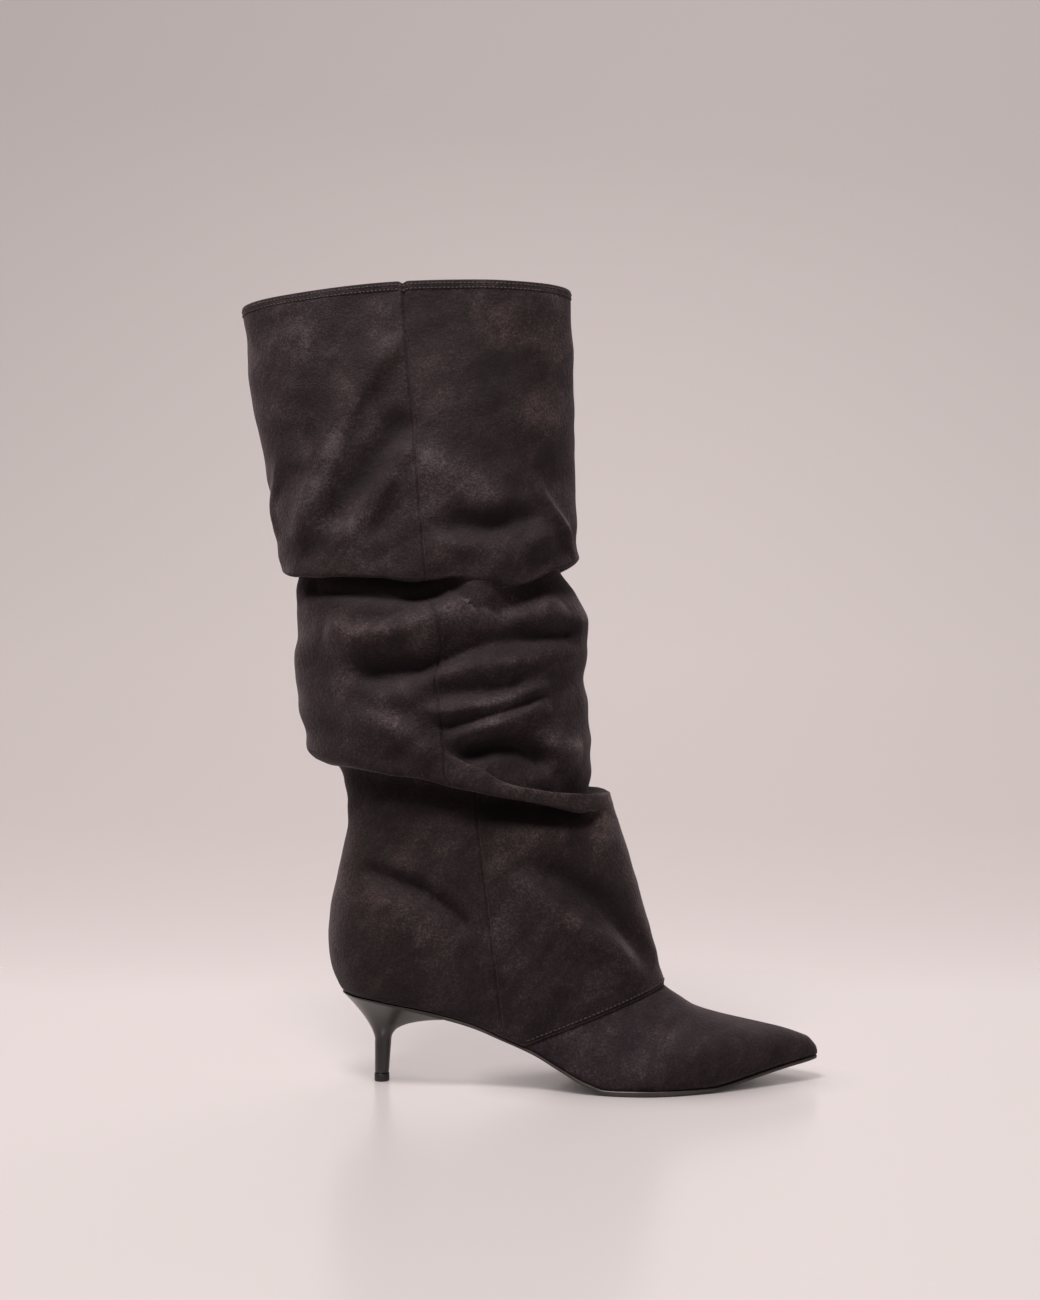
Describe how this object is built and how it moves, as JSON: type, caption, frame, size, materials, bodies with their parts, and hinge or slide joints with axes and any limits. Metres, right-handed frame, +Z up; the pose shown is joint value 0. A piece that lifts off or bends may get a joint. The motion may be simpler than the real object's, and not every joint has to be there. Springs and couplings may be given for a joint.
{
  "type": "slouch boot",
  "caption": "Right pull-on slouch boot with a tall soft shaft, pointed toe, thin sole and slim kitten heel, open at the collar.",
  "frame": {"origin": "centre of the heel tip's lower face, on the floor", "axes": "+X towards the toe, +Y towards the inner side of the foot, +Z up"},
  "size_m": [0.3163, 0.0916, 0.4345],
  "materials": {
    "suede": "matt black-brown suede with a short mottled nap",
    "lining": "dark matt lining cloth on the insole",
    "sole": "dark brown resin sole with a painted edge",
    "heel_plastic": "dark brown moulded plastic with a satin gloss",
    "top_piece": "black rubber-like top piece"
  },
  "bodies": {
    "root": {"upper": "suede", "insole": "lining", "outsole": "sole", "heel": "heel_plastic", "heel_tip": "top_piece"}
  },
  "joints": []
}
